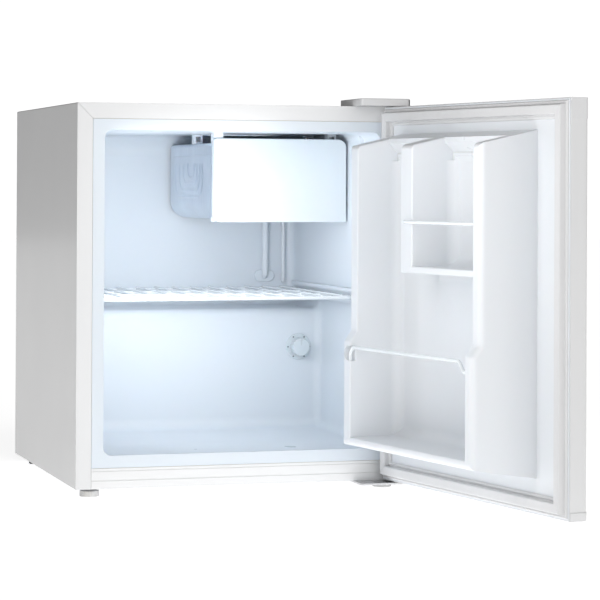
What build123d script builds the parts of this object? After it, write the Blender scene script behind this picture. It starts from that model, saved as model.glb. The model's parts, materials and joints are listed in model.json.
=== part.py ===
from build123d import *
import math
import os

os.makedirs("parts", exist_ok=True)

# A 46-litre table-top refrigerator, standing on its feet with the main door open.
# Millimetres. Z is up, the door side faces -Y, X runs to the right seen from the front.
# The origin is on the floor, below the middle of the cabinet's front plane.

# ---------------------------------------------------------------- driving sizes
WIDTH = 440.0           # cabinet and door
CABINET_DEPTH = 430.0   # front plane to back panel
BODY_BOTTOM = 12.0      # underside of the cabinet above the floor
BODY_TOP = 502.0
SKIN = 1.2              # steel sheet and plastic liner thickness
RETURN = 20.0           # front return of the wrapped outer shell

CAVITY_HALF = 184.5     # half the width of the cold space
CAVITY_TOP = 468.0
CAVITY_FLOOR = 57.0
SILL = 54.0             # the floor falls to this height at the front
DEEP_WALL = 394.0       # back wall of the upper space
STEP_WALL = 259.0       # back wall below the ledge, in front of the compressor
LEDGE = 224.0
RAIL_TOP = 38.0         # top of the rail along the bottom of the front

BAY_FRONT = 291.0       # compressor bay
BAY_ROOF = 193.0

PIN_X = 203.0           # main hinge axis
PIN_Y = -23.0
PIN_R = 3.5
DOOR_ANGLE = 100.0      # how far the main door stands open
DOOR_BACK = -10.0       # plane of the door's inner flange when shut
DOOR_FRONT = -36.0
DOOR_BOTTOM = 14.0
DOOR_TOP = 501.0
LINER_WALL = 2.5        # formed door liner
CAP = 4.0               # thickness of the door's end caps

SHELF_Z = 247.0
SHELF_FRONT = 95.0
SHELF_BACK = 385.0
ROD = 2.5               # radius of the shelf's frame rod
WIRE = 1.5

FREEZER_LEFT = -5.0
FREEZER_RIGHT = 182.0
FREEZER_BOTTOM = 348.0
FREEZER_TOP = 461.0
FREEZER_FRONT = 135.0
FREEZER_PIN = (1.0, 141.0)

KNOB_X = 152.0
KNOB_Z = 170.5
SHAFT_R = 3.0
FIT = 0.05              # radial clearance of turning pieces

HALF = WIDTH / 2
INSIDE = HALF - SKIN
FOOT_X = 197.0
FOOT_Y = 24.0
REAR_FOOT = (196.0, 396.0)
STUD_R = 4.0

# ---------------------------------------------------------------- frames and helpers
HOME = Plane.XY
turn = math.radians(DOOR_ANGLE)
DOOR = Plane(
    origin=(
        PIN_X - PIN_X * math.cos(turn) + PIN_Y * math.sin(turn),
        PIN_Y - PIN_X * math.sin(turn) - PIN_Y * math.cos(turn),
        0,
    ),
    x_dir=(math.cos(turn), math.sin(turn), 0),
    z_dir=(0, 0, 1),
)   # door pieces are laid out where they lie when shut, in this turned frame


def facing(frame, depth):
    """Upright plane at this depth, facing the front: sketch x is X, sketch y is Z."""
    return Plane(
        origin=frame.from_local_coords(Vector(0, depth, 0)),
        x_dir=frame.x_dir,
        z_dir=-frame.y_dir,
    )


def sideways(frame, x):
    """Upright plane facing +X: sketch x is Y, sketch y is Z."""
    return Plane(
        origin=frame.from_local_coords(Vector(x, 0, 0)),
        x_dir=frame.y_dir,
        z_dir=frame.x_dir,
    )


def slab(frame, x, y, z, mode=Mode.ADD):
    """Box between two x, two y and two z values of the frame."""
    with BuildSketch(frame.offset(z[0])) as face:
        with Locations(((x[0] + x[1]) / 2, (y[0] + y[1]) / 2)):
            Rectangle(x[1] - x[0], y[1] - y[0])
    extrude(face.sketch, amount=z[1] - z[0], mode=mode)


def drum(plane, centre, radius, height, mode=Mode.ADD):
    """Cylinder standing on a plane."""
    with BuildSketch(plane) as face:
        with Locations(centre):
            Circle(radius)
    extrude(face.sketch, amount=height, mode=mode)


def save(piece, name):
    piece.label = name
    export_step(piece, f"parts/{name}.step")


def bent_rod(points, radii, radius):
    """Round bar along straight runs joined by arcs."""
    with BuildLine() as path:
        FilletPolyline(*points, radius=radii)
    with BuildSketch(Plane(origin=path.wire() @ 0, z_dir=path.wire() % 0)) as end:
        Circle(radius)
    sweep(end.sketch, path=path.wire())


# ---------------------------------------------------------------- cold space
def cavity(grow):
    """The cold space, or the outside of its liner when grown by the liner's thickness."""
    with BuildPart() as space:
        with BuildSketch(sideways(HOME, -CAVITY_HALF - grow)):
            with BuildLine():
                Polyline(
                    (0, SILL), (12, SILL), (84, CAVITY_FLOOR), (STEP_WALL, CAVITY_FLOOR),
                    (STEP_WALL, LEDGE), (DEEP_WALL, LEDGE), (DEEP_WALL, CAVITY_TOP),
                    (0, CAVITY_TOP), close=True,
                )
            make_face()
            fillet(vertices().sort_by_distance((STEP_WALL, CAVITY_FLOOR))[0], 16)
            fillet(vertices().sort_by_distance((STEP_WALL, LEDGE))[0], 12)
            fillet(vertices().sort_by_distance((DEEP_WALL, LEDGE))[0], 14)
            fillet(vertices().sort_by_distance((DEEP_WALL, CAVITY_TOP))[0], 30)
            if grow:
                offset(amount=grow, kind=Kind.INTERSECTION)
                with Locations((-grow / 2, (SILL + CAVITY_TOP) / 2)):
                    Rectangle(grow, CAVITY_TOP, mode=Mode.SUBTRACT)
        extrude(amount=2 * (CAVITY_HALF + grow))
        walls = space.faces().filter_by(Axis.X).edges()
        rounded = walls.filter_by(lambda edge: edge.center().Y > 0.5)
        fillet(rounded, 11 + grow)
    return space.part


cold_space = cavity(0)
liner_outside = cavity(SKIN)

# ---------------------------------------------------------------- cabinet casing
SEAM = 0.5              # width of the mitre seam in the front return
SCREW_R = 2.4
HINGE_SCREWS = [(165, 22), (165, 44)]
BASE_SCREWS = [(160, 12), (160, 32)]

with BuildPart() as outer_shell:
    slab(HOME, (-HALF, HALF), (0, CABINET_DEPTH), (BODY_BOTTOM, BODY_TOP))
    slab(HOME, (-INSIDE, INSIDE), (SKIN, CABINET_DEPTH - SKIN), (BODY_BOTTOM, BODY_TOP - SKIN), Mode.SUBTRACT)
    inner_return = HALF - RETURN
    slab(HOME, (-inner_return, inner_return), (0, SKIN), (BODY_BOTTOM, BODY_TOP - RETURN), Mode.SUBTRACT)
    slab(HOME, (-206, 206), (CABINET_DEPTH - SKIN, CABINET_DEPTH), (BODY_BOTTOM, 488), Mode.SUBTRACT)
    long_edges = outer_shell.edges().filter_by(Axis.Y).group_by(Axis.Z)[-1]
    fillet(long_edges, 1.6)
    for side in (-1, 1):
        middle = (side * (HALF - RETURN / 2), BODY_TOP - RETURN / 2)
        with BuildSketch(facing(HOME, 0)):
            with Locations(Location((*middle, 0), (0, 0, 45 * side))):
                Rectangle(RETURN * 1.5, SEAM)
        extrude(amount=-SKIN / 3, mode=Mode.SUBTRACT)
    for spot in HINGE_SCREWS:
        drum(HOME.offset(BODY_TOP - SKIN), spot, SCREW_R + 0.1, SKIN, Mode.SUBTRACT)
save(outer_shell.part, "outer_shell")

with BuildPart() as inner_liner:
    add(liner_outside)
    flange = inner_return - 0.3
    slab(HOME, (-flange, flange), (0, SKIN), (RAIL_TOP + 0.3, BODY_TOP - RETURN - 0.3))
    add(cold_space, mode=Mode.SUBTRACT)
    for side in (-1, 1):
        for low, high in ((238.0, 244.0), (254.0, 259.0)):
            wall = sorted((side * (CAVITY_HALF + SKIN / 2), side * (CAVITY_HALF - 7)))
            slab(HOME, wall, (90, 380), (low, high))
    drum(facing(HOME, STEP_WALL + SKIN), (KNOB_X, KNOB_Z), SHAFT_R + 1, SKIN, Mode.SUBTRACT)
    for x, z in ((140.0, 265.0), (168.0, 258.0)):
        drum(facing(HOME, DEEP_WALL + SKIN), (x, z), 4.6 if x < 150 else 2.6, SKIN, Mode.SUBTRACT)
save(inner_liner.part, "inner_liner")

with BuildPart() as bottom_rail:
    slab(HOME, (-inner_return + 0.3, inner_return - 0.3), (0, 8), (BODY_BOTTOM, RAIL_TOP))
    for height in (22.0, 34.0):
        slab(HOME, (-inner_return, inner_return), (0, 0.5), (height, height + 0.8), Mode.SUBTRACT)
save(bottom_rail.part, "bottom_rail")

with BuildPart() as base_panel:
    slab(HOME, (-INSIDE, INSIDE), (8, BAY_FRONT), (BODY_BOTTOM, BODY_BOTTOM + SKIN))
    slab(HOME, (-INSIDE, INSIDE), (BAY_FRONT - SKIN, BAY_FRONT), (BODY_BOTTOM, BAY_ROOF + SKIN))
    slab(HOME, (-INSIDE, INSIDE), (BAY_FRONT, CABINET_DEPTH - SKIN), (BAY_ROOF, BAY_ROOF + SKIN))
    for side in (-1, 1):
        drum(HOME, (side * FOOT_X, FOOT_Y), STUD_R + 0.6, 20, Mode.SUBTRACT)
    for spot in BASE_SCREWS:
        drum(HOME, spot, SCREW_R + 0.1, 20, Mode.SUBTRACT)
    drum(facing(HOME, BAY_FRONT), (KNOB_X, KNOB_Z), SHAFT_R + 1, SKIN, Mode.SUBTRACT)
save(base_panel.part, "base_panel")

with BuildPart() as back_panel:
    slab(HOME, (-205.7, 205.7), (CABINET_DEPTH - SKIN, CABINET_DEPTH), (BAY_ROOF, 487.7))
    with BuildSketch(facing(HOME, CABINET_DEPTH)):
        with Locations((0, 340)):
            with GridLocations(394, 270, 2, 2):
                Circle(SCREW_R)
    extrude(amount=SKIN, mode=Mode.SUBTRACT)
save(back_panel.part, "back_panel")

# The condenser is a serpentine tube bonded behind the back panel.
TUBE_R = 2.4
COIL_Y = CABINET_DEPTH - SKIN - TUBE_R - 0.3
COIL_RUN = 180.0
COIL_STEP = 32.0
COIL_START = 225.0
coil_points = []
for turn_number in range(8):
    ends = (-COIL_RUN, COIL_RUN) if turn_number % 2 == 0 else (COIL_RUN, -COIL_RUN)
    for end_x in ends:
        coil_points.append((end_x, COIL_Y, COIL_START + turn_number * COIL_STEP))
with BuildPart() as condenser_coil:
    bent_rod(coil_points, 15.5, TUBE_R)
save(condenser_coil.part, "condenser_coil")

with BuildPart() as insulation:
    slab(HOME, (-INSIDE, INSIDE), (SKIN, CABINET_DEPTH - SKIN), (BODY_BOTTOM + SKIN, BODY_TOP - SKIN))
    slab(
        HOME, (-HALF, HALF), (BAY_FRONT - SKIN, CABINET_DEPTH), (0, BAY_ROOF + SKIN), Mode.SUBTRACT,
    )
    slab(HOME, (-inner_return, inner_return), (0, 8), (BODY_BOTTOM, RAIL_TOP), Mode.SUBTRACT)
    add(liner_outside, mode=Mode.SUBTRACT)
    slab(HOME, (-200, 200), (COIL_Y - TUBE_R - 0.3, CABINET_DEPTH), (206, 480), Mode.SUBTRACT)
    for side in (-1, 1):
        drum(HOME, (side * FOOT_X, FOOT_Y), 10, 46, Mode.SUBTRACT)
    for spot in BASE_SCREWS:
        drum(HOME, spot, SCREW_R + 0.1, 28, Mode.SUBTRACT)
    for spot in HINGE_SCREWS:
        drum(HOME.offset(485), spot, SCREW_R + 0.1, 20, Mode.SUBTRACT)
    drum(facing(HOME, BAY_FRONT), (KNOB_X, KNOB_Z), SHAFT_R + 1, 40, Mode.SUBTRACT)
    for x, z in ((140.0, 265.0), (168.0, 258.0)):
        drum(facing(HOME, DEEP_WALL + 14), (x, z), 4.6 if x < 150 else 2.6, 14, Mode.SUBTRACT)
save(insulation.part, "insulation")

with BuildPart() as panel_screws:
    with BuildSketch(facing(HOME, CABINET_DEPTH)):
        with Locations((0, 340)):
            with GridLocations(394, 270, 2, 2):
                Circle(3.8)
    extrude(amount=-1.6)
save(panel_screws.part, "panel_screws")

# ---------------------------------------------------------------- feet
PAD_R = 12.5
PAD_HEIGHT = 8.0
NUT_BOTTOM = BODY_BOTTOM + SKIN

for side, label in ((-1, "left"), (1, "right")):
    with BuildPart() as foot:
        drum(HOME, (side * FOOT_X, FOOT_Y), PAD_R, PAD_HEIGHT)
        chamfer(foot.edges().group_by(Axis.Z)[0], 1)
        with BuildSketch(HOME.offset(2)):
            with Locations((side * FOOT_X, FOOT_Y)):
                with PolarLocations(PAD_R + 0.2, 24):
                    Circle(0.8)
        extrude(amount=PAD_HEIGHT, mode=Mode.SUBTRACT)
        drum(HOME.offset(PAD_HEIGHT), (side * FOOT_X, FOOT_Y), STUD_R, 30)
    save(foot.part, f"front_{label}_foot")

with BuildPart() as foot_nuts:
    with BuildSketch(HOME.offset(NUT_BOTTOM)):
        with Locations((-FOOT_X, FOOT_Y), (FOOT_X, FOOT_Y)):
            RegularPolygon(7.5, 6)
            Circle(STUD_R + FIT, mode=Mode.SUBTRACT)
    extrude(amount=8)
save(foot_nuts.part, "foot_nuts")

with BuildPart() as rear_feet:
    for side in (-1, 1):
        drum(HOME, (side * REAR_FOOT[0], REAR_FOOT[1]), 10, BODY_BOTTOM)
    chamfer(rear_feet.edges().group_by(Axis.Z)[0], 1)
save(rear_feet.part, "rear_feet")

# ---------------------------------------------------------------- compressor bay
MOTOR = (20.0, 366.0)           # compressor centre
TRAY_Y = (300.0, CABINET_DEPTH - SKIN - 1)
MOTOR_TOP = 160.0

with BuildPart() as compressor_tray:
    slab(HOME, (-INSIDE, INSIDE), TRAY_Y, (BODY_BOTTOM, BODY_BOTTOM + 2))
    for low in (TRAY_Y[0], TRAY_Y[1] - 2):
        slab(HOME, (-INSIDE, INSIDE), (low, low + 2), (BODY_BOTTOM, BODY_BOTTOM + 20))
    with BuildSketch(facing(HOME, TRAY_Y[1])):
        with Locations((-168, BODY_BOTTOM + 11)):
            Circle(5)
    extrude(amount=2, mode=Mode.SUBTRACT)
save(compressor_tray.part, "compressor_tray")

with BuildPart() as rubber_mounts:
    with BuildSketch(HOME.offset(BODY_BOTTOM + 2)):
        with Locations(MOTOR):
            with GridLocations(96, 62, 2, 2):
                Circle(8)
                Circle(3.2, mode=Mode.SUBTRACT)
    extrude(amount=9)
save(rubber_mounts.part, "rubber_mounts")

with BuildPart() as mount_bolts:
    with BuildSketch(HOME.offset(BODY_BOTTOM + 2)):
        with Locations(MOTOR):
            with GridLocations(96, 62, 2, 2):
                Circle(3)
    extrude(amount=13)
    with BuildSketch(HOME.offset(BODY_BOTTOM + 13.4)):
        with Locations(MOTOR):
            with GridLocations(96, 62, 2, 2):
                RegularPolygon(6, 6)
    extrude(amount=4)
save(mount_bolts.part, "mount_bolts")

with BuildPart() as compressor:
    plate_top = BODY_BOTTOM + 13.4
    drum(HOME.offset(plate_top), MOTOR, 56, MOTOR_TOP - plate_top)
    fillet(compressor.edges().group_by(Axis.Z)[-1], 32)
    fillet(compressor.edges().group_by(Axis.Z)[0], 16)
    drum(HOME.offset(92), MOTOR, 59, 5)
    with BuildSketch(HOME.offset(plate_top - 2.4)):
        with Locations(MOTOR):
            RectangleRounded(116, 82, 10)
            with GridLocations(96, 62, 2, 2):
                Circle(3.1, mode=Mode.SUBTRACT)
    extrude(amount=2.4)
    slab(HOME, (MOTOR[0] - 59, MOTOR[0] - 40), (MOTOR[1] - 22, MOTOR[1] + 22), (34, 88))
save(compressor.part, "compressor")

with BuildPart() as relay_cover:
    slab(HOME, (MOTOR[0] - 92, MOTOR[0] - 59), (MOTOR[1] - 25, MOTOR[1] + 25), (28, 92))
    fillet(relay_cover.edges().filter_by(Axis.Y), 5)
save(relay_cover.part, "relay_cover")

PIPE_R = 2.5
DRYER = (-120.0, 366.0)
with BuildPart() as filter_dryer:
    drum(HOME.offset(60), DRYER, 9, 76)
    fillet(filter_dryer.edges().group_by(Axis.Z)[0], 5)
    fillet(filter_dryer.edges().group_by(Axis.Z)[-1], 5)
save(filter_dryer.part, "filter_dryer")

with BuildPart() as discharge_pipe:
    start = (MOTOR[0] + 54, MOTOR[1], 70)
    bent_rod([start, (100, 366, 70), (100, 366, 150), (130, 400, 150), (130, 400, BAY_ROOF)], 9, PIPE_R)
    add(compressor.part, mode=Mode.SUBTRACT)
save(discharge_pipe.part, "discharge_pipe")

with BuildPart() as suction_pipe:
    start = (MOTOR[0], MOTOR[1] - 52, 80)
    bent_rod([start, (20, 303, 80), (-60, 303, 80), (-60, 303, BAY_ROOF)], 8, PIPE_R + 0.5)
    add(compressor.part, mode=Mode.SUBTRACT)
save(suction_pipe.part, "suction_pipe")

with BuildPart() as capillary_tube:
    bent_rod([(*DRYER, 136), (*DRYER, 176), (-150, 366, 176), (-150, 366, BAY_ROOF)], 7, 1.2)
save(capillary_tube.part, "capillary_tube")

with BuildPart() as condenser_pipe:
    bent_rod([(*DRYER, 60), (*DRYER, 38), (-160, 366, 38), (-160, 400, 38), (-160, 400, BAY_ROOF)], 8, PIPE_R)
save(condenser_pipe.part, "condenser_pipe")

with BuildPart() as dryer_clip:
    slab(HOME, (DRYER[0] - 4, DRYER[0] + 4), (BAY_FRONT, DRYER[1]), (96, 106))
    drum(HOME.offset(96), DRYER, 11, 10)
    drum(HOME.offset(90), DRYER, 9, 20, Mode.SUBTRACT)
save(dryer_clip.part, "dryer_clip")

with BuildPart() as cord_gland:
    face = facing(HOME, TRAY_Y[1] + 3)
    drum(face, (-168, BODY_BOTTOM + 11), 4.9, 8)
    drum(face, (-168, BODY_BOTTOM + 11), 7.5, 3)
    drum(facing(HOME, TRAY_Y[1] - 2), (-168, BODY_BOTTOM + 11), 7.5, 3)
    drum(facing(HOME, TRAY_Y[1] + 4), (-168, BODY_BOTTOM + 11), 3.4, 12, Mode.SUBTRACT)
save(cord_gland.part, "cord_gland")

# ---------------------------------------------------------------- freezer box
BOX_LEFT = -4.0
BOX_RIGHT = 178.0
BOX_TOP = 455.0
BOX_BOTTOM = 351.0
BOX_FRONT = 151.5
BOX_BACK = 384.5
PLATE = 1.6

with BuildPart() as evaporator:
    with BuildSketch(facing(HOME, BOX_BACK)) as box_section:
        with BuildLine():
            Polyline(
                (BOX_LEFT, BOX_TOP), (BOX_LEFT, BOX_BOTTOM), (BOX_RIGHT, BOX_BOTTOM),
                (BOX_RIGHT, BOX_TOP), close=True,
            )
        make_face()
        fillet(box_section.vertices().group_by(Axis.Y)[0], 24)
        fillet(box_section.vertices().group_by(Axis.Y)[-1], 5)
        offset(amount=-PLATE, mode=Mode.SUBTRACT)
    extrude(amount=BOX_BACK - BOX_FRONT)
save(evaporator.part, "evaporator")

HANGER_X = (4.0, 166.0)
HANGER_Y = (158.0, 262.0)
with BuildPart() as evaporator_hangers:
    for x in HANGER_X:
        for y in HANGER_Y:
            slab(HOME, (x - 6, x + 6), (y - 7, y + 7), (BOX_TOP, CAVITY_TOP))
            slab(HOME, (x - 3.5, x + 3.5), (y - 8, y + 4.5), (BOX_TOP + 3, CAVITY_TOP - 3), Mode.SUBTRACT)
save(evaporator_hangers.part, "evaporator_hangers")

with BuildPart() as hanger_screws:
    for x in HANGER_X:
        for y in HANGER_Y:
            drum(HOME.offset(CAVITY_TOP - 5), (x, y - 1), 2.6, 2)
save(hanger_screws.part, "hanger_screws")

LUG_TOP = 355.0                 # the lower lug lies in a notch at the back of the freezer door
LUG_PIN_R = 1.2

with BuildPart() as freezer_door:
    with BuildSketch(facing(HOME, FREEZER_FRONT)) as panel:
        with Locations(((FREEZER_LEFT + FREEZER_RIGHT) / 2, (FREEZER_BOTTOM + FREEZER_TOP) / 2)):
            Rectangle(FREEZER_RIGHT - FREEZER_LEFT, FREEZER_TOP - FREEZER_BOTTOM)
        for corner, radius in (
            ((FREEZER_LEFT, FREEZER_BOTTOM), 10), ((FREEZER_RIGHT, FREEZER_TOP), 12),
            ((FREEZER_LEFT, FREEZER_TOP), 4), ((FREEZER_RIGHT, FREEZER_BOTTOM), 2),
        ):
            fillet(panel.vertices().sort_by_distance(corner)[0], radius)
    extrude(amount=-12)
    fillet(freezer_door.faces().sort_by(Axis.Y)[0].edges(), 1.2)
    with BuildSketch(facing(HOME, FREEZER_FRONT + 2.4)):
        with Locations(((FREEZER_LEFT + FREEZER_RIGHT) / 2 + 5, (FREEZER_BOTTOM + FREEZER_TOP) / 2)):
            RectangleRounded(FREEZER_RIGHT - FREEZER_LEFT - 16, FREEZER_TOP - FREEZER_BOTTOM - 6, 8)
    extrude(amount=-12, mode=Mode.SUBTRACT)
    slab(HOME, (-6, 8.5), (137.2, 148), (FREEZER_BOTTOM - 1, LUG_TOP + 0.8), Mode.SUBTRACT)
    drum(HOME.offset(FREEZER_TOP - 3), FREEZER_PIN, 2, 6.4)
    drum(HOME.offset(LUG_TOP - 2.6), FREEZER_PIN, LUG_PIN_R, 6)
save(freezer_door.part, "freezer_door")

with BuildPart() as freezer_hinge_lugs:
    slab(HOME, (-5.5, 7.5), (136, 150.6), (FREEZER_TOP + 0.8, CAVITY_TOP))
    slab(HOME, (-1.5, 3.5), (138.4, 165), (LUG_TOP - 3, LUG_TOP))
    slab(HOME, (-1.5, 3.5), (155, 165), (BOX_BOTTOM - 2.5, LUG_TOP))
    slab(HOME, (-1.5, 27), (155, 165), (BOX_BOTTOM - 2.5, BOX_BOTTOM))
    drum(HOME.offset(FREEZER_TOP), FREEZER_PIN, 2 + FIT, 30, Mode.SUBTRACT)
    drum(HOME.offset(LUG_TOP - 10), FREEZER_PIN, LUG_PIN_R + FIT, 20, Mode.SUBTRACT)
save(freezer_hinge_lugs.part, "freezer_hinge_lugs")

# ---------------------------------------------------------------- tubes on the back wall
TUBE_Y = 388.4
SLEEVE_HOLE = (140.0, 265.0)
SENSOR_HOLE = (168.0, 258.0)

with BuildPart() as suction_tube:
    x, z = SLEEVE_HOLE
    bent_rod([(x, TUBE_Y, 392), (x, TUBE_Y, z), (x, DEEP_WALL + 12, z)], 5.5, 3)
save(suction_tube.part, "suction_tube")

with BuildPart() as tube_sleeve:
    x, z = SLEEVE_HOLE
    bent_rod([(x, TUBE_Y, BOX_BOTTOM - 1), (x, TUBE_Y, z), (x, DEEP_WALL + 6, z)], 5.5, 4.5)
    add(suction_tube.part, mode=Mode.SUBTRACT)
save(tube_sleeve.part, "tube_sleeve")

with BuildPart() as tube_grommet:
    with BuildSketch(facing(HOME, DEEP_WALL)):
        with Locations((SLEEVE_HOLE[0], 265.5)):
            SlotOverall(30.5, 17)
    extrude(amount=3)
    fillet(tube_grommet.faces().sort_by(Axis.Y)[0].edges(), 1.2)
    add(tube_sleeve.part, mode=Mode.SUBTRACT)
    add(suction_tube.part, mode=Mode.SUBTRACT)
save(tube_grommet.part, "tube_grommet")

with BuildPart() as sensor_tube:
    x, z = SENSOR_HOLE
    bent_rod([(x, TUBE_Y + 1.4, BOX_BOTTOM - 3), (x, TUBE_Y + 1.4, z), (x, DEEP_WALL + 8, z)], 3, 2.5)
save(sensor_tube.part, "sensor_tube")

# ---------------------------------------------------------------- thermostat
BEZEL_FRONT = STEP_WALL - 2
KNOB_BACK = BEZEL_FRONT - 0.8
KNOB_R = 12.5
DIAL = (KNOB_X, KNOB_Z)

with BuildPart() as thermostat_body:
    slab(HOME, (KNOB_X - 20, KNOB_X + 20), (BAY_FRONT, 313), (KNOB_Z - 18, KNOB_Z + 14))
    drum(facing(HOME, BAY_FRONT), DIAL, SHAFT_R + 0.9, BAY_FRONT - BEZEL_FRONT - 0.5)
    drum(facing(HOME, 307), DIAL, SHAFT_R + FIT, 60, Mode.SUBTRACT)
save(thermostat_body.part, "thermostat_body")

with BuildPart() as thermostat_shaft:
    drum(facing(HOME, 306.5), DIAL, SHAFT_R, 306.5 - 247)
save(thermostat_shaft.part, "thermostat_shaft")

with BuildPart() as thermostat_bezel:
    drum(facing(HOME, STEP_WALL), DIAL, 18.5, STEP_WALL - BEZEL_FRONT)
    fillet(thermostat_bezel.faces().sort_by(Axis.Y)[0].edges(), 0.8)
    with BuildSketch(facing(HOME, BEZEL_FRONT)):
        with Locations(DIAL):
            with PolarLocations(15.8, 6):
                Circle(0.9)
    extrude(amount=0.4)
    drum(facing(HOME, STEP_WALL), DIAL, SHAFT_R + 1, 5, Mode.SUBTRACT)
save(thermostat_bezel.part, "thermostat_bezel")

with BuildPart() as thermostat_knob:
    drum(facing(HOME, KNOB_BACK), DIAL, KNOB_R, 13.5)
    fillet(thermostat_knob.faces().sort_by(Axis.Y)[0].edges(), 1.5)
    with BuildSketch(facing(HOME, KNOB_BACK)):
        with Locations(DIAL):
            with PolarLocations(KNOB_R + 0.4, 16):
                Circle(1.1)
    extrude(amount=14, mode=Mode.SUBTRACT)
    with BuildSketch(facing(HOME, KNOB_BACK - 12.7)):
        with Locations((KNOB_X, KNOB_Z + 7)):
            Rectangle(1.4, 7)
    extrude(amount=2, mode=Mode.SUBTRACT)
    add(thermostat_shaft.part, mode=Mode.SUBTRACT)
save(thermostat_knob.part, "thermostat_knob")

# ---------------------------------------------------------------- shelf
SHELF_HALF = 180.5
WIRE_PITCH = 27.0
with BuildPart() as wire_shelf:
    bent_rod(
        [
            (-SHELF_HALF, SHELF_BACK, SHELF_Z), (-SHELF_HALF, SHELF_FRONT, SHELF_Z),
            (SHELF_HALF, SHELF_FRONT, SHELF_Z), (SHELF_HALF, SHELF_BACK, SHELF_Z),
        ],
        12, ROD,
    )
    for y in (190.0, 285.0, SHELF_BACK - ROD):
        drum(sideways(HOME, -SHELF_HALF), (y, SHELF_Z), ROD, 2 * SHELF_HALF)
    with BuildSketch(facing(HOME, SHELF_BACK)):
        with Locations((0, SHELF_Z + 3)):
            with GridLocations(WIRE_PITCH, 1, 13, 1):
                Circle(WIRE)
    extrude(amount=SHELF_BACK - SHELF_FRONT + 1)
save(wire_shelf.part, "wire_shelf")

# ---------------------------------------------------------------- main hinges on the cabinet
PIN = (PIN_X, PIN_Y)
PLATE_X = (150.0, 214.0)

with BuildPart() as top_hinge_plate:
    slab(HOME, PLATE_X, (-32, 52), (BODY_TOP, BODY_TOP + 2.5))
    fillet(top_hinge_plate.edges().filter_by(Axis.Z), 6)
    drum(HOME.offset(BODY_TOP), PIN, PIN_R, 3, Mode.SUBTRACT)
    for spot in HINGE_SCREWS:
        drum(HOME.offset(BODY_TOP), spot, SCREW_R, 3, Mode.SUBTRACT)
save(top_hinge_plate.part, "top_hinge_plate")

with BuildPart() as top_hinge_pin:
    drum(HOME.offset(484), PIN, PIN_R, BODY_TOP + 2.5 - 484)
    chamfer(top_hinge_pin.edges().group_by(Axis.Z)[0], 0.8)
    drum(HOME.offset(BODY_TOP + 2.5), PIN, 6, 1.5)
save(top_hinge_pin.part, "top_hinge_pin")

with BuildPart() as top_hinge_screws:
    for spot in HINGE_SCREWS:
        drum(HOME.offset(488), spot, SCREW_R, BODY_TOP + 2.5 - 488)
        drum(HOME.offset(BODY_TOP + 2.5), spot, 4.2, 2.4)
save(top_hinge_screws.part, "top_hinge_screws")

with BuildPart() as top_hinge_cover:
    slab(HOME, (147, 216), (-34, 56), (BODY_TOP, BODY_TOP + 9.5))
    fillet(top_hinge_cover.edges().filter_by(Axis.Z).group_by(Axis.X)[-1], 8)
    fillet(top_hinge_cover.edges().filter_by(Axis.Z).group_by(Axis.X)[0], 3)
    fillet(top_hinge_cover.faces().sort_by(Axis.Z)[-1].edges(), 1.5)
    slab(HOME, (148.5, 214.5), (-32.5, 54.5), (BODY_TOP, BODY_TOP + 8), Mode.SUBTRACT)
save(top_hinge_cover.part, "top_hinge_cover")

with BuildPart() as bottom_hinge_bracket:
    slab(HOME, PLATE_X, (-32, 40), (BODY_BOTTOM - 2.5, BODY_BOTTOM))
    fillet(bottom_hinge_bracket.edges().filter_by(Axis.Z), 6)
    drum(HOME, PIN, PIN_R, 20, Mode.SUBTRACT)
    drum(HOME, (FOOT_X, FOOT_Y), STUD_R + 1, 20, Mode.SUBTRACT)
    for spot in BASE_SCREWS:
        drum(HOME, spot, SCREW_R, 20, Mode.SUBTRACT)
save(bottom_hinge_bracket.part, "bottom_hinge_bracket")

with BuildPart() as bottom_hinge_pin:
    drum(HOME.offset(BODY_BOTTOM - 2.5), PIN, PIN_R, 22.5)
    chamfer(bottom_hinge_pin.edges().group_by(Axis.Z)[-1], 0.8)
save(bottom_hinge_pin.part, "bottom_hinge_pin")

with BuildPart() as bottom_hinge_screws:
    for spot in BASE_SCREWS:
        drum(HOME.offset(BODY_BOTTOM - 4.7), spot, 4.2, 2.2)
        drum(HOME.offset(BODY_BOTTOM - 2.5), spot, SCREW_R, 17.5)
save(bottom_hinge_screws.part, "bottom_hinge_screws")

# ---------------------------------------------------------------- main door
DOOR_HALF = 220.0
LOW_SEAM = DOOR_BOTTOM + CAP
HIGH_SEAM = DOOR_TOP - CAP
FLANGE = DOOR_BACK - SKIN       # where the liner's flange meets the steel
TIP = 66.0                      # how far the door's inner walls stand in, above the step
LOW_TIP = 76.0                  # and below it
BAY_BACK = 4.0                  # back wall of the bottle bays
CORNER = 6.0
TIP_ROUND = 7.0                 # rounding of the inner walls' outer edges
RIM_ROUND = 2.0                 # and of the edges round the bays
BUSH_R = 6.0
ALONG_DOOR = Axis(DOOR.origin, DOOR.y_dir)      # through the door's thickness


def rail_seat(grow):
    """Oval recess that takes the hinge end of the lower rail."""
    with BuildPart() as seat:
        with BuildSketch(facing(DOOR, 68 - grow)):
            with Locations((157, 185.5)):
                Ellipse(11 + grow, 9.5 + grow)
        extrude(amount=-20)
    return seat.part


def near_tip(form, depth):
    """Edges that lie this deep or deeper in the fridge when the door is closed."""
    return [edge for edge in form.edges() if DOOR.to_local_coords(edge.center()).Y > depth]


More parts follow.
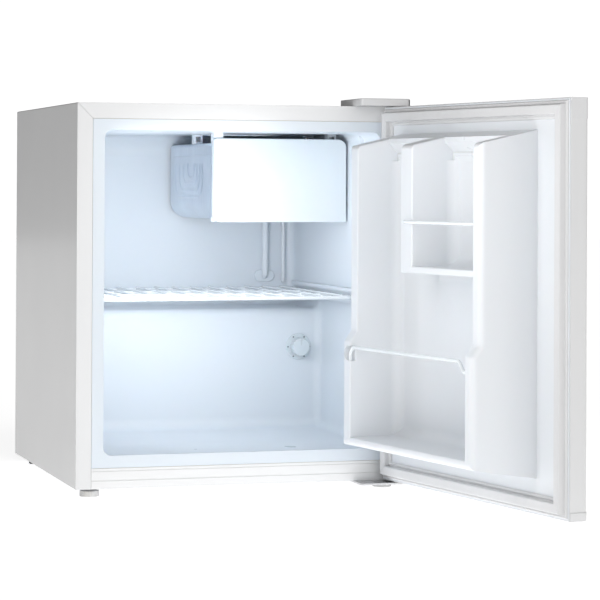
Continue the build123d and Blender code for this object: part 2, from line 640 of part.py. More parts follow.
def door_form(inset):
    """Raised inside of the door: two side walls, a middle wall and the bays between them."""
    with BuildPart() as form:
        with BuildSketch(sideways(DOOR, -160)):
            Polygon(
                (FLANGE, 56 + inset), (LOW_TIP - inset, 69 + inset), (LOW_TIP - inset, 200 - inset / 2),
                (TIP - inset, 213 - inset / 2), (TIP - inset, 448 - inset), (FLANGE, 465 - inset),
                align=None,
            )
        extrude(amount=345)
        with BuildSketch(DOOR):
            Polygon(
                (-151 + inset, FLANGE), (-147 + inset, LOW_TIP), (173 - inset, LOW_TIP),
                (177 - inset, FLANGE), align=None,
            )
        extrude(amount=DOOR_TOP, mode=Mode.INTERSECT)
        fillet(near_tip(form, TIP - 6), TIP_ROUND - inset)
        for room in bays(inset) + [rail_seat(inset)]:
            add(room, mode=Mode.SUBTRACT)
        if inset == 0:
            fillet(rim_edges(form), RIM_ROUND)
    return form.part


def rim_edges(form):
    """Edges round the mouths of the bays."""
    rims = []
    for edge in near_tip(form, TIP - 11):
        spot = DOOR.to_local_coords(edge.center())
        if -131 < spot.X < 153 and 78 < spot.Z < 441:
            rims.append(edge)
    return rims


def bays(grow):
    """Bottle bay, tall bay and can bay, grown by the liner's thickness for the foam."""
    spans = [
        ((-130, 152), (79, 291.5)),
        ((41, 152), (79, 440)),
        ((-130, 13), (300, 440)),
    ]
    rooms = []
    for x, z in spans:
        with BuildPart() as room:
            wide = (x[0] - grow, x[1] + grow)
            tall = (z[0] - grow, z[1] + grow)
            slab(DOOR, wide, (BAY_BACK - grow, LOW_TIP + 10), tall)
            back = room.faces().sort_by(ALONG_DOOR)[0]
            fillet(back.edges(), 14 + grow)
            if z[1] == 440:
                with BuildSketch(sideways(DOOR, wide[0])) as brow:
                    Polygon(
                        (20 - grow, 430), (20 - grow, 480), (LOW_TIP + 10, 480),
                        (LOW_TIP + 10, 430), align=None,
                    )
                    Polygon(
                        (20 - grow, 430), (20 - grow, 452 + grow), (8, 440 + grow), (8, 430),
                        align=None,
                    )
                extrude(brow.sketch, amount=wide[1] - wide[0])
        rooms.append(room.part)
    return rooms


with BuildPart() as lower_door_rail:
    rail_points = [
        (-138, 72, 181), (-121, 72, 181), (-110, 72, 193), (150, 72, 193), (158, 72, 186), (158, 72, 176),
    ]
    bent_rod([DOOR.from_local_coords(Vector(*point)) for point in rail_points], 5, 2.3)
save(lower_door_rail.part, "lower_door_rail")

with BuildPart() as upper_door_rail:
    rail_points = [
        (27, 55, 354), (27, 70, 354), (-118, 70, 354), (-128, 62, 354), (-138, 62, 354),
    ]
    bent_rod([DOOR.from_local_coords(Vector(*point)) for point in rail_points], 4, 2.2)
save(upper_door_rail.part, "upper_door_rail")


def door_block(inset, low, high):
    """The door's outline behind its flange, pulled in by this much, with rounded front edges."""
    reach = DOOR_HALF - inset
    with BuildPart() as block:
        slab(DOOR, (-reach, reach), (DOOR_FRONT + inset, FLANGE), (low, high))
        fillet(block.edges().filter_by(Axis.Z).group_by(ALONG_DOOR)[0], CORNER - inset)
    return block.part


liner_form = door_form(0)
foam_form = door_form(LINER_WALL)
liner_bays = bays(0)
foam_bays = bays(LINER_WALL)
liner_seat = rail_seat(0)
foam_seat = rail_seat(LINER_WALL)
door_outline = door_block(0, LOW_SEAM, HIGH_SEAM)
door_inside = door_block(SKIN, LOW_SEAM, HIGH_SEAM)

with BuildPart() as door_outer_skin:
    add(door_outline)
    add(door_inside, mode=Mode.SUBTRACT)
    for side in (-1, 1):
        x = sorted((side * 206, side * (DOOR_HALF - SKIN)))
        slab(DOOR, x, (FLANGE - SKIN, FLANGE), (LOW_SEAM, HIGH_SEAM))
save(door_outer_skin.part, "door_outer_skin")

with BuildPart() as door_foam:
    add(door_inside)
    add(door_outer_skin.part, mode=Mode.SUBTRACT)
    add(foam_form)
    for room in foam_bays:
        add(room, mode=Mode.SUBTRACT)
    add(foam_seat, mode=Mode.SUBTRACT)
    add(lower_door_rail.part, mode=Mode.SUBTRACT)
    add(upper_door_rail.part, mode=Mode.SUBTRACT)
    drum(DOOR, PIN, BUSH_R, 33, Mode.SUBTRACT)
    drum(DOOR.offset(483), PIN, BUSH_R, 20, Mode.SUBTRACT)
save(door_foam.part, "door_foam")

with BuildPart() as door_inner_liner:
    slab(DOOR, (-219, 219), (FLANGE, DOOR_BACK), (DOOR_BOTTOM + 1, DOOR_TOP - 1))
    add(liner_form)
    add(foam_form, mode=Mode.SUBTRACT)
    for room in liner_bays:
        add(room, mode=Mode.SUBTRACT)
    add(liner_seat, mode=Mode.SUBTRACT)
    add(lower_door_rail.part, mode=Mode.SUBTRACT)
    add(upper_door_rail.part, mode=Mode.SUBTRACT)
save(door_inner_liner.part, "door_inner_liner")

GASKET_OUT = 217.0
GASKET_IN = 195.0
GASKET_FRONT = -0.6
MIDDLE = (DOOR_BOTTOM + DOOR_TOP) / 2
OUT_HEIGHT = (DOOR_TOP - DOOR_BOTTOM) / 2 - 3


def frame_ring(outer, inner, start, end, mode=Mode.ADD):
    """Rectangular ring on the inside of the door, between two half widths."""
    shorter = OUT_HEIGHT - GASKET_OUT
    with BuildSketch(facing(DOOR, end)) as ring:
        with Locations((0, MIDDLE)):
            Rectangle(2 * outer, 2 * (outer + shorter))
            Rectangle(2 * inner, 2 * (inner + shorter), mode=Mode.SUBTRACT)
    extrude(ring.sketch, amount=end - start, mode=mode)


with BuildPart() as gasket_magnets:
    frame_ring(210, 202, -8.2, -4.6)
    for corner in (-202.0, 201.6):
        slab(DOOR, (corner, corner + 0.4), (-9, -4), (DOOR_BOTTOM, DOOR_TOP), Mode.SUBTRACT)
save(gasket_magnets.part, "gasket_magnets")

with BuildPart() as door_gasket:
    frame_ring(GASKET_OUT, GASKET_IN, DOOR_BACK, GASKET_FRONT)
    front_face = door_gasket.faces().sort_by(ALONG_DOOR)[-1]
    chamfer(front_face.outer_wire().edges(), length=11, length2=5, reference=front_face)
    for outer, inner in ((200, 198.6), (212.5, 211)):
        frame_ring(outer, inner, -5, 0, Mode.SUBTRACT)
    add(gasket_magnets.part, mode=Mode.SUBTRACT)
save(door_gasket.part, "door_gasket")

PROUD = 0.6                     # the caps stand proud of the steel by this much
TOP_WRAP = (476, HIGH_SEAM)     # how far the caps reach round the ends of the steel
BOTTOM_WRAP = (LOW_SEAM, 24)
top_block = door_block(-PROUD, TOP_WRAP[0], DOOR_TOP)
bottom_block = door_block(-PROUD, DOOR_BOTTOM, BOTTOM_WRAP[1])

with BuildPart() as door_top_cap:
    add(top_block)
    add(door_outline, mode=Mode.SUBTRACT)
    slab(DOOR, (-205, 205), (DOOR_FRONT - 2, FLANGE), TOP_WRAP, Mode.SUBTRACT)
    drum(DOOR, PIN, BUSH_R, DOOR_TOP + 5, Mode.SUBTRACT)
save(door_top_cap.part, "door_top_cap")

with BuildPart() as door_bottom_cap:
    add(bottom_block)
    add(door_outline, mode=Mode.SUBTRACT)
    slab(DOOR, (-205, 205), (DOOR_FRONT - 2, FLANGE), BOTTOM_WRAP, Mode.SUBTRACT)
    drum(DOOR, PIN, BUSH_R, DOOR_TOP + 5, Mode.SUBTRACT)
save(door_bottom_cap.part, "door_bottom_cap")

with BuildPart() as door_bushes:
    drum(DOOR.offset(DOOR_BOTTOM), PIN, BUSH_R, 33 - DOOR_BOTTOM)
    drum(DOOR.offset(BODY_BOTTOM + 0.3), PIN, BUSH_R + 2, DOOR_BOTTOM - BODY_BOTTOM - 0.3)
    drum(DOOR.offset(483), PIN, BUSH_R, DOOR_TOP - 483)
    drum(DOOR.offset(DOOR_TOP), PIN, BUSH_R + 2, 0.6)
    drum(DOOR, PIN, PIN_R + FIT, DOOR_TOP + 5, Mode.SUBTRACT)
save(door_bushes.part, "door_bushes")
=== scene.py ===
import json
import math

import bmesh
import bpy
from mathutils import Matrix, Vector


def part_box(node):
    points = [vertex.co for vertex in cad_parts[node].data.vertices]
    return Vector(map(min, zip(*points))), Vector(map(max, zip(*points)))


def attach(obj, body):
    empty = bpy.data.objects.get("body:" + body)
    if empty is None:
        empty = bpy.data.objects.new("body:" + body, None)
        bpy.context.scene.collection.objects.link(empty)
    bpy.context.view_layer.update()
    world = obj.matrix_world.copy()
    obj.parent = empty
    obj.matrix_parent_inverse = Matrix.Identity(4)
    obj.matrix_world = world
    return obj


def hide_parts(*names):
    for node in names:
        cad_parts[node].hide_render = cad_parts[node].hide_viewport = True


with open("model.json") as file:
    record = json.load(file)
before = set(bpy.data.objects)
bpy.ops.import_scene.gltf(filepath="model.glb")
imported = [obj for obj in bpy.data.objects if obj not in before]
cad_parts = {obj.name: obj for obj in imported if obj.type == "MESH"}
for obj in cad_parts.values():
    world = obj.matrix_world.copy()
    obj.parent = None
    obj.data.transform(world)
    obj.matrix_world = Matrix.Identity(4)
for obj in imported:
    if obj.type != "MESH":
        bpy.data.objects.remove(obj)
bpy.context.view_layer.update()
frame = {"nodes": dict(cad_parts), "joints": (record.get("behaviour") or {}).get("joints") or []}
nodes = frame["nodes"]
joints = {joint["name"]: joint for joint in frame["joints"]}
scene = bpy.context.scene
MM = 0.001


# ------------------------------------------------------------------ material helpers
def tree(name):
    """A new node material: its node tree, its principled shader and a texture position."""
    mat = bpy.data.materials.new(name)
    mat.use_nodes = True
    nt = mat.node_tree
    shader = nt.nodes["Principled BSDF"]
    where = nt.nodes.new("ShaderNodeTexCoord").outputs["Object"]
    return mat, nt, shader, where


def noise(nt, where, scale, detail=3.0, rough=0.5, stretch=(1, 1, 1)):
    """Noise value with this many features per metre."""
    mapping = nt.nodes.new("ShaderNodeMapping")
    mapping.inputs["Scale"].default_value = stretch
    nt.links.new(where, mapping.inputs["Vector"])
    tex = nt.nodes.new("ShaderNodeTexNoise")
    tex.inputs["Scale"].default_value = scale
    tex.inputs["Detail"].default_value = detail
    tex.inputs["Roughness"].default_value = rough
    nt.links.new(mapping.outputs["Vector"], tex.inputs["Vector"])
    return tex.outputs["Fac"]


def spread(nt, value, low, high, start=0.3, end=0.7):
    """Maps values between start and end to low..high."""
    node = nt.nodes.new("ShaderNodeMapRange")
    node.inputs["From Min"].default_value = start
    node.inputs["From Max"].default_value = end
    node.inputs["To Min"].default_value = low
    node.inputs["To Max"].default_value = high
    nt.links.new(value, node.inputs["Value"])
    return node.outputs["Result"]


def mix(nt, factor, first, second):
    """Colour between two colours or colour sockets."""
    node = nt.nodes.new("ShaderNodeMix")
    node.data_type = "RGBA"
    nt.links.new(factor, node.inputs["Factor"])
    for socket, colour in ((node.inputs[6], first), (node.inputs[7], second)):
        if isinstance(colour, tuple):
            socket.default_value = (*colour, 1)
        else:
            nt.links.new(colour, socket)
    return node.outputs[2]


def relief(nt, shader, height, depth, strength, edge):
    """Surface bumps of this depth in metres, over sharp edges rounded off by this radius."""
    rounding = nt.nodes.new("ShaderNodeBevel")
    rounding.samples = 4
    rounding.inputs["Radius"].default_value = edge
    node = nt.nodes.new("ShaderNodeBump")
    node.inputs["Strength"].default_value = strength
    node.inputs["Distance"].default_value = depth
    nt.links.new(height, node.inputs["Height"])
    nt.links.new(rounding.outputs["Normal"], node.inputs["Normal"])
    nt.links.new(node.outputs["Normal"], shader.inputs["Normal"])


# ------------------------------------------------------------------ kinds of material
PLASTIC_EDGE = 0.8 * MM
SHEET_EDGE = 0.7 * MM
METAL_EDGE = 0.4 * MM


def moulded(name, colour, tint, rough, grain=900, depth=2e-5, coat=0.0, sss=0.0):
    """Moulded or formed plastic: slow colour drift, fine specks and grain, uneven gloss."""
    mat, nt, shader, where = tree(name)
    drift = spread(nt, noise(nt, where, 7), 0, 1, start=0.2, end=0.8)
    base = mix(nt, drift, colour, tint)
    speck = spread(nt, noise(nt, where, 260, detail=2), 0, 0.35, start=0.35, end=0.75)
    nt.links.new(mix(nt, speck, base, tint), shader.inputs["Base Color"])
    gloss = spread(nt, noise(nt, where, 16, detail=2), *rough, start=0.15, end=0.85)
    nt.links.new(gloss, shader.inputs["Roughness"])
    relief(nt, shader, noise(nt, where, grain, detail=2), depth, 0.5, PLASTIC_EDGE)
    shader.inputs["Coat Weight"].default_value = coat
    shader.inputs["Coat Roughness"].default_value = 0.2
    shader.inputs["Subsurface Weight"].default_value = sss
    shader.inputs["Subsurface Scale"].default_value = 0.004
    return mat


def enamel(name, colour, tint, rough=(0.28, 0.36)):
    """Painted steel: slow colour drift, orange peel and uneven satin gloss."""
    mat, nt, shader, where = tree(name)
    drift = spread(nt, noise(nt, where, 5), 0, 1)
    nt.links.new(mix(nt, drift, colour, tint), shader.inputs["Base Color"])
    gloss = spread(nt, noise(nt, where, 14), *rough, start=0.15, end=0.85)
    nt.links.new(gloss, shader.inputs["Roughness"])
    peel = noise(nt, where, 700, detail=2, rough=0.4)
    relief(nt, shader, peel, 1.5e-5, 0.5, SHEET_EDGE)
    shader.inputs["Coat Weight"].default_value = 0.25
    shader.inputs["Coat Roughness"].default_value = 0.12
    return mat


def metal(name, pattern_of, colour, tint, rough, depth):
    """Bare or plated metal: a pattern in its colour and gloss, and faint stains."""
    mat, nt, shader, where = tree(name)
    shader.inputs["Metallic"].default_value = 1.0
    pattern, low, high = pattern_of(nt, where)
    base = mix(nt, spread(nt, pattern, 0, 1, low, high), colour, tint)
    stain = spread(nt, noise(nt, where, 18, detail=5, rough=0.6), 0, 0.3, start=0.35, end=0.8)
    darker = tuple(0.75 * channel for channel in tint)
    nt.links.new(mix(nt, stain, base, darker), shader.inputs["Base Color"])
    nt.links.new(spread(nt, pattern, *rough, low, high), shader.inputs["Roughness"])
    relief(nt, shader, pattern, depth, 0.4, METAL_EDGE)
    return mat


def spangle(nt, where):
    """Crystals of zinc plating, as a value and its range."""
    cells = nt.nodes.new("ShaderNodeTexVoronoi")
    cells.inputs["Scale"].default_value = 140
    nt.links.new(where, cells.inputs["Vector"])
    grey = nt.nodes.new("ShaderNodeRGBToBW")
    nt.links.new(cells.outputs["Color"], grey.inputs["Color"])
    return grey.outputs["Val"], 0.0, 1.0


def drawn(scale, stretch):
    """Lines left by rolling or drawing, as a function that gives a value and its range."""
    def lines(nt, where):
        return noise(nt, where, scale, detail=3, rough=0.6, stretch=stretch), 0.3, 0.7
    return lines


# ------------------------------------------------------------------ materials
WHITE_STEEL = enamel("white_steel", (0.785, 0.785, 0.785), (0.76, 0.762, 0.765), (0.36, 0.44))
RAIL_WHITE = enamel("rail_white", (0.83, 0.83, 0.83), (0.80, 0.80, 0.80))
BLACK_STEEL = enamel("black_steel", (0.012, 0.012, 0.013), (0.02, 0.02, 0.021), (0.25, 0.4))

LINER = moulded(
    "liner_plastic", (0.74, 0.79, 0.84), (0.71, 0.765, 0.825), (0.26, 0.34), coat=0.15, sss=0.03)
DOOR_LINER = moulded(
    "door_liner_plastic", (0.80, 0.82, 0.845), (0.775, 0.80, 0.83), (0.26, 0.34), coat=0.15, sss=0.03)
FLAP = moulded(
    "freezer_flap_plastic", (0.71, 0.76, 0.80), (0.685, 0.745, 0.79), (0.2, 0.3), coat=0.2, sss=0.08)
KNOB = moulded("knob_plastic", (0.70, 0.76, 0.80), (0.66, 0.73, 0.78), (0.22, 0.3), coat=0.2, sss=0.06)
TRIM = moulded("trim_plastic", (0.78, 0.78, 0.785), (0.75, 0.752, 0.757), (0.34, 0.42), 1400)
COVER = moulded("hinge_cover_plastic", (0.70, 0.70, 0.705), (0.665, 0.665, 0.67), (0.38, 0.46), 1200, 3e-5)
SLEEVE = moulded("sleeve_plastic", (0.80, 0.84, 0.88), (0.76, 0.81, 0.86), (0.35, 0.45))
TUBE = moulded("tube_sheath", (0.84, 0.87, 0.90), (0.79, 0.83, 0.87), (0.3, 0.4), 900, 1e-5)
MARK = moulded("dial_print", (0.20, 0.23, 0.26), (0.16, 0.19, 0.22), (0.4, 0.5), 900, 1e-5)
SEAL = moulded("seal_rubber", (0.74, 0.74, 0.745), (0.70, 0.70, 0.705), (0.5, 0.62), 1600, 3e-5)
FOOT = moulded("foot_plastic", (0.72, 0.72, 0.72), (0.66, 0.66, 0.66), (0.4, 0.5), 1400, 3e-5)
FOAM = moulded("foam", (0.80, 0.70, 0.45), (0.72, 0.61, 0.36), (0.8, 0.95), 500, 2e-4)
DOOR_FOAM = moulded("door_foam", (0.80, 0.81, 0.80), (0.75, 0.76, 0.74), (0.8, 0.95), 500, 2e-4)
BLACK_RUBBER = moulded(
    "black_rubber", (0.018, 0.018, 0.018), (0.035, 0.034, 0.033), (0.6, 0.8), 1500, 5e-5)
BLACK_PLASTIC = moulded(
    "black_plastic", (0.02, 0.02, 0.022), (0.03, 0.03, 0.032), (0.35, 0.5), 1100, 4e-5)
WIRE = moulded("coated_wire", (0.86, 0.89, 0.91), (0.82, 0.86, 0.89), (0.15, 0.24), 600, 1e-5, coat=0.4)

ALUMINIUM = metal(
    "evaporator_aluminium", drawn(30, (1, 30, 1)),
    (0.80, 0.84, 0.90), (0.72, 0.77, 0.84), (0.3, 0.44), 2e-5)
ZINC = metal("zinc_steel", spangle, (0.52, 0.53, 0.55), (0.42, 0.43, 0.45), (0.25, 0.42), 1e-5)
PLATED = metal(
    "plated_steel", drawn(200, (1, 1, 8)), (0.62, 0.62, 0.62), (0.50, 0.50, 0.51), (0.2, 0.34), 2e-5)
COPPER = metal(
    "copper", drawn(70, (1, 1, 3)), (0.74, 0.36, 0.22), (0.60, 0.27, 0.16), (0.24, 0.42), 2e-5)

# Hinges, screws, nuts, bolts and the dial's shaft are plated steel, which is what isn't listed.
LOOKS = [
    (WHITE_STEEL, "outer_shell door_outer_skin"),
    (RAIL_WHITE, "bottom_rail"),
    (LINER, "inner_liner tube_grommet freezer_hinge_lugs evaporator_hangers"),
    (DOOR_LINER, "door_inner_liner"),
    (FLAP, "freezer_door"),
    (TRIM, "door_top_cap door_bottom_cap door_bushes"),
    (COVER, "top_hinge_cover"),
    (KNOB, "thermostat_knob thermostat_bezel"),
    (SLEEVE, "tube_sleeve"),
    (TUBE, "suction_tube sensor_tube"),
    (FOAM, "insulation"),
    (DOOR_FOAM, "door_foam"),
    (SEAL, "door_gasket"),
    (FOOT, "front_left_foot front_right_foot"),
    (BLACK_RUBBER, "rear_feet rubber_mounts cord_gland gasket_magnets"),
    (BLACK_PLASTIC, "relay_cover thermostat_body"),
    (BLACK_STEEL, "compressor"),
    (WIRE, "wire_shelf lower_door_rail upper_door_rail"),
    (ALUMINIUM, "evaporator"),
    (ZINC, "base_panel back_panel compressor_tray dryer_clip"),
    (COPPER, "filter_dryer discharge_pipe suction_pipe capillary_tube condenser_pipe condenser_coil"),
]
look_of = {name: look for look, names in LOOKS for name in names.split()}
for name, obj in nodes.items():
    obj.data.materials.clear()
    obj.data.materials.append(look_of.get(name, PLATED))


# ------------------------------------------------------------------ mesh helpers
def piece(name, verts, faces, body, look, smooth=True):
    """A new mesh piece that rides a body and takes its finish from a material slot."""
    mesh = bpy.data.meshes.new(name)
    mesh.from_pydata([tuple(vert) for vert in verts], [], faces)
    mesh.update()
    bm = bmesh.new()
    bm.from_mesh(mesh)
    bmesh.ops.recalc_face_normals(bm, faces=bm.faces)
    bm.to_mesh(mesh)
    bm.free()
    mesh.polygons.foreach_set("use_smooth", [smooth] * len(mesh.polygons))
    mesh.materials.append(look)
    obj = bpy.data.objects.new(name, mesh)
    scene.collection.objects.link(obj)
    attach(obj, body)
    return obj


def lattice(start, rows, columns, closed=False):
    """Faces between rows of vertices that follow each other in a list of vertices."""
    faces = []
    for row in range(rows - 1):
        for column in range(columns if closed else columns - 1):
            a = start + row * columns + column
            b = start + row * columns + (column + 1) % columns
            faces.append((a, b, b + columns, a + columns))
    return faces


def corners_of(spots):
    """Lowest and highest corner of some points."""
    low = Vector([min(spot[k] for spot in spots) for k in range(3)])
    high = Vector([max(spot[k] for spot in spots) for k in range(3)])
    return low, high


def islands(node):
    """Low and high corner of each separate solid of a CAD node."""
    obj = nodes[node]
    bm = bmesh.new()
    bm.from_mesh(obj.data)
    bmesh.ops.remove_doubles(bm, verts=bm.verts, dist=1e-6)
    left = set(bm.verts)
    found = []
    while left:
        todo = [left.pop()]
        group = []
        while todo:
            vert = todo.pop()
            group.append(obj.matrix_world @ vert.co)
            for edge in vert.link_edges:
                other = edge.other_vert(vert)
                if other in left:
                    left.discard(other)
                    todo.append(other)
        found.append(corners_of(group))
    bm.free()
    return sorted(found, key=lambda pair: tuple(round(c, 5) for c in pair[0]))


def rounded(points, times=2):
    """Cuts the corners of an open line, keeping its ends."""
    for _ in range(times):
        cut = [points[0]]
        for a, b in zip(points, points[1:]):
            cut.append(tuple(0.75 * p + 0.25 * q for p, q in zip(a, b)))
            cut.append(tuple(0.25 * p + 0.75 * q for p, q in zip(a, b)))
        cut.append(points[-1])
        points = cut
    return points


# ------------------------------------------------------------------ door seal
DOOR_HINGE = joints["main_door_hinge"]
HINGE_LINE = Vector((DOOR_HINGE["pos_m"][0], DOOR_HINGE["pos_m"][1], 0))
OPEN = -math.radians(DOOR_HINGE["range_deg"][0])     # the door stands open this far at rest
SWING = Matrix.Translation(HINGE_LINE) @ Matrix.Rotation(OPEN, 4, "Z") @ Matrix.Translation(-HINGE_LINE)


def door_seal():
    """The gasket with its dart lip, bellows and magnet pad, mitred at the four corners."""
    gasket = nodes["door_gasket"]
    shut = SWING.inverted() @ gasket.matrix_world
    low, high = corners_of([shut @ vert.co for vert in gasket.data.vertices])
    tall = (high.y - low.y) / MM
    # Millimetres in from the seal's outer edge, and up from the back of the door.
    outline = [
        (0.2, 0.0), (0.0, 0.9), (1.2, 2.9), (2.6, 2.2), (3.6, 1.5), (4.4, 3.4), (4.7, 6.4), (5.2, tall),
        (8.0, tall), (14.0, tall), (16.3, tall), (16.6, 6.2), (16.2, 3.0), (17.4, 1.6),
        (18.6, 2.9), (20.0, 3.3), (21.8, 2.2), (22.0, 0.8), (21.8, 0.0),
    ]
    profile = rounded(outline)
    middle = (low + high) / 2
    half = (high - low) / 2
    steps = 24
    corners = [(-1, -1), (1, -1), (1, 1), (-1, 1)]
    verts, faces = [], []
    for first, second in zip(corners, corners[1:] + corners[:1]):
        faces += lattice(len(verts), steps + 1, len(profile))
        for step in range(steps + 1):
            t = step / steps
            for inward, rise in profile:
                across_door = (half.x - inward * MM) * (first[0] * (1 - t) + second[0] * t)
                up_door = (half.z - inward * MM) * (first[1] * (1 - t) + second[1] * t)
                spot = Vector((middle.x + across_door, low.y + rise * MM, middle.z + up_door))
                verts.append(SWING @ spot)
    seal = piece("door_seal", verts, faces, "main_door", SEAL)
    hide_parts("door_gasket")


door_seal()


# ------------------------------------------------------------------ screws in the back panel
def cross_recess_heads():
    """Pan heads with a cross recess, one for each screw in the back panel."""
    rings, around = 22, 72
    verts, faces = [], []
    for low, high in islands("panel_screws"):
        centre = (low + high) / 2
        radius = (high.x - low.x) / 2
        height = min(high.y - low.y, 0.62 * radius)
        arm, reach = 0.17 * radius, 0.62 * radius    # half width and length of the recess's arms
        deep = 0.62 * height
        faces += lattice(len(verts), rings + 2, around, closed=True)
        for ring in range(rings + 2):
            r = radius * min(ring, rings) / rings
            for step in range(around):
                angle = 2 * math.pi * step / around
                a, b = r * math.cos(angle), r * math.sin(angle)
                top = height * (1 - 0.75 * (r / radius) ** 4)
                if min(abs(a), abs(b)) < arm and max(abs(a), abs(b)) < reach:
                    top = height - deep * (1 - 0.35 * r / reach)
                if ring > rings:
                    top = 0                          # the last ring is the head's rim on the panel
                verts.append((centre.x + a, high.y - height + top, centre.z + b))
    heads = piece("panel_screw_heads", verts, faces, "cabinet", PLATED, smooth=False)
    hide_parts("panel_screws")


cross_recess_heads()


# ------------------------------------------------------------------ freezer box
def bead(name, path, wide, tall):
    """A pressed bead standing out to the left of the freezer box along a (y, z) path."""
    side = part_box("evaporator")[0].x
    across_bead = 9
    verts = []
    for k, (y, z) in enumerate(path):
        after, before = path[min(k + 1, len(path) - 1)], path[max(k - 1, 0)]
        along = Vector((after[0] - before[0], after[1] - before[1])).normalized()
        fade = min(1, min(k, len(path) - 1 - k) / 2)
        for m in range(across_bead):
            t = -1 + 2 * m / (across_bead - 1)
            out = tall * (0.5 + 0.5 * math.cos(math.pi * t)) * fade
            verts.append((side - out, y - along.y * t * wide / 2, z + along.x * t * wide / 2))
    faces = lattice(0, len(path), across_bead)
    piece(name, verts, faces, "cabinet", ALUMINIUM)


def arch(y_low, y_high, z_low, z_high, corner):
    """U-shaped path, open at the top, with rounded lower corners."""
    straight, bend = 8, 10
    leg = z_high - z_low - corner
    path = [(y_low, z_high - leg * k / straight) for k in range(straight)]
    for centre_y, begin in ((y_low + corner, math.pi), (y_high - corner, 1.5 * math.pi)):
        for k in range(bend + 1):
            angle = begin + 0.5 * math.pi * k / bend
            path.append((centre_y + corner * math.cos(angle), z_low + corner + corner * math.sin(angle)))
    path += [(y_high, z_low + corner + leg * k / straight) for k in range(1, straight + 1)]
    return path


def freezer_box_side():
    """Four nested coolant channels and a fold line on the left side of the freezer box."""
    low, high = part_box("evaporator")
    for k in range(4):
        inset = 15 * MM * k
        line = arch(
            low.y + 50 * MM + inset, high.y - 30 * MM - 1.6 * inset,
            low.z + 30 * MM + 0.6 * inset, high.z - 26 * MM, max(12 * MM, (26 - 4 * k) * MM),
        )
        bead(f"coolant_channel_{k + 1}", line, 6 * MM, 1.1 * MM)
    steps = 20
    length = high.y - low.y - 12 * MM
    fold = [(low.y + 4 * MM + length * k / steps, high.z - 16 * MM) for k in range(steps + 1)]
    bead("box_top_fold", fold, 2.5 * MM, 0.6 * MM)


freezer_box_side()


# ------------------------------------------------------------------ thermostat dial
def dial_marks():
    """Six printed marks on the raised dots round the thermostat knob."""
    centre = Vector(joints["thermostat_turn"]["pos_m"])
    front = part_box("thermostat_bezel")[0].y - 0.05 * MM
    dots, circle, radius, rise = 6, 15.8 * MM, 1.15 * MM, 0.25 * MM
    rings, around = 4, 20
    verts, faces = [], []
    for k in range(dots):
        angle = 2 * math.pi * k / dots
        x, z = centre.x + circle * math.cos(angle), centre.z + circle * math.sin(angle)
        faces += lattice(len(verts), rings + 1, around, closed=True)
        for ring in range(rings + 1):
            r = radius * ring / rings
            y = front - rise * (1 - (ring / rings) ** 2)
            for step in range(around):
                turn = 2 * math.pi * step / around
                verts.append((x + r * math.cos(turn), y, z + r * math.sin(turn)))
    piece("dial_marks", verts, faces, "cabinet", MARK)


dial_marks()

# ------------------------------------------------------------------ camera
LENS = 142.76
SENSOR = 36
SHIFT_UP = -0.2293
EYE = Vector((-0.8274, -2.9597, 0.3976))
YAW = math.radians(16.945)
PITCH = math.radians(-0.561)
ROLL = math.radians(-0.284)


def add_camera():
    """Camera low in front of the cabinet's left side, with a long lens shifted down."""
    ahead = Vector((math.sin(YAW) * math.cos(PITCH), math.cos(YAW) * math.cos(PITCH), -math.sin(PITCH)))
    level = Vector((math.cos(YAW), -math.sin(YAW), 0))
    down = ahead.cross(level)
    across = level * math.cos(ROLL) + down * math.sin(ROLL)
    upward = (-ahead).cross(across)
    lens = bpy.data.cameras.new("camera")
    lens.lens = LENS
    lens.sensor_width = SENSOR
    lens.shift_y = SHIFT_UP
    lens.clip_start = 0.05
    lens.clip_end = 100
    camera = bpy.data.objects.new("camera", lens)
    turn = Matrix((across, upward, -ahead)).transposed().to_4x4()
    camera.matrix_world = Matrix.Translation(EYE) @ turn
    scene.collection.objects.link(camera)
    scene.camera = camera


add_camera()

# ------------------------------------------------------------------ studio
SURROUND = 0.14         # light from all round
BACKDROP = 1.05         # what the camera sees behind the fridge
FLOOR_GLOW = 0.78
FLOOR_REACH = 14.0
COOL_WHITE = (0.97, 0.985, 1.0)


def add_surround():
    """A white backdrop that lights the fridge less than it shows."""
    world = bpy.data.worlds.new("studio")
    scene.world = world
    world.use_nodes = True
    wt = world.node_tree
    dim = wt.nodes["Background"]
    dim.inputs["Color"].default_value = (1, 1, 1, 1)
    dim.inputs["Strength"].default_value = SURROUND
    bright = wt.nodes.new("ShaderNodeBackground")
    bright.inputs["Color"].default_value = (1, 1, 1, 1)
    bright.inputs["Strength"].default_value = BACKDROP
    rays = wt.nodes.new("ShaderNodeLightPath")
    either = wt.nodes.new("ShaderNodeMixShader")
    wt.links.new(rays.outputs["Is Camera Ray"], either.inputs["Fac"])
    wt.links.new(dim.outputs["Background"], either.inputs[1])
    wt.links.new(bright.outputs["Background"], either.inputs[2])
    wt.links.new(either.outputs["Shader"], wt.nodes["World Output"].inputs["Surface"])


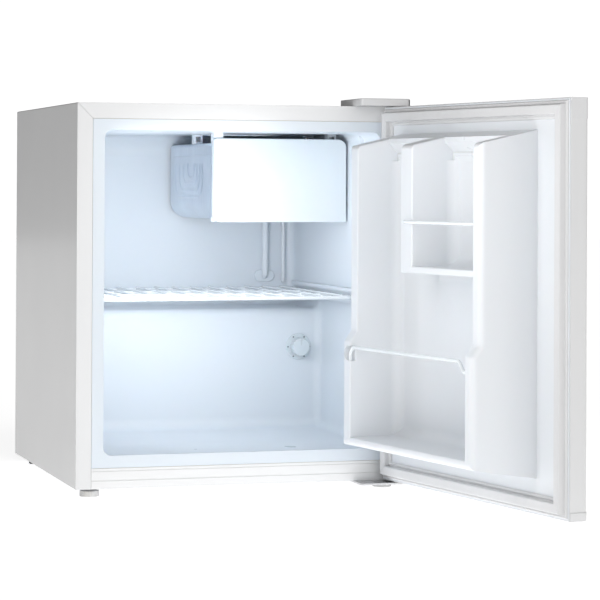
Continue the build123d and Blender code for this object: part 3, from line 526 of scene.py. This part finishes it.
def add_floor():
    """Plain pale floor, bright enough to meet the backdrop without a line."""
    mesh = bpy.data.meshes.new("floor")
    reach = FLOOR_REACH
    corners = [(-reach, -reach, 0), (reach, -reach, 0), (reach, reach, 0), (-reach, reach, 0)]
    mesh.from_pydata(corners, [], [(0, 1, 2, 3)])
    floor = bpy.data.objects.new("floor", mesh)
    scene.collection.objects.link(floor)
    mat, nt, shader, where = tree("floor")
    shade = mix(nt, noise(nt, where, 3), (0.93, 0.93, 0.93), (0.91, 0.91, 0.91))
    nt.links.new(shade, shader.inputs["Base Color"])
    shader.inputs["Roughness"].default_value = 0.9
    shader.inputs["Specular IOR Level"].default_value = 0.1
    shader.inputs["Emission Color"].default_value = (1, 1, 1, 1)
    shader.inputs["Emission Strength"].default_value = FLOOR_GLOW
    mesh.materials.append(mat)


def aim(obj, direction):
    """Turns a light to shine in this direction."""
    obj.rotation_mode = "QUATERNION"
    obj.rotation_quaternion = direction.to_track_quat("-Z", "Y")


def softbox(name, place, target, size, power, colour=(1, 1, 1)):
    """Soft light that shows neither in the picture nor in reflections."""
    light = bpy.data.lights.new(name, "AREA")
    light.shape = "RECTANGLE"
    light.size, light.size_y = size
    light.energy = power
    light.color = colour
    obj = bpy.data.objects.new(name, light)
    obj.location = place
    obj.visible_camera = False
    obj.visible_glossy = False
    aim(obj, Vector(target) - Vector(place))
    scene.collection.objects.link(obj)


def sun(name, azimuth, height, softness, strength):
    """Distant soft light. Azimuth 0 shines along +Y, and more than 0 comes from the right."""
    light = bpy.data.lights.new(name, "SUN")
    light.energy = strength
    light.angle = math.radians(softness)
    obj = bpy.data.objects.new(name, light)
    a, e = math.radians(azimuth), math.radians(height)
    source = Vector((math.sin(a) * math.cos(e), -math.cos(a) * math.cos(e), math.sin(e)))
    aim(obj, -source)
    scene.collection.objects.link(obj)


scene.view_settings.view_transform = "Standard"
add_surround()
add_floor()
sun("front_wash", 15, 11, 80, 1.42)
softbox("inner_fill", (-0.07, -0.015, 0.35), (-0.02, 0.4, 0.37), (0.2, 0.22), 0.26, COOL_WHITE)
softbox("right_fill", (-0.13, 0.05, 0.29), (0.19, 0.35, 0.30), (0.08, 0.08), 0.34, COOL_WHITE)
softbox("gap_fill", (0.06, 0.27, 0.465), (0.06, 0.0, 0.465), (0.10, 0.004), 0.03)
softbox("door_fill", (-0.17, -0.47, 0.45), (0.23, -0.28, 0.32), (0.22, 0.4), 1.2)
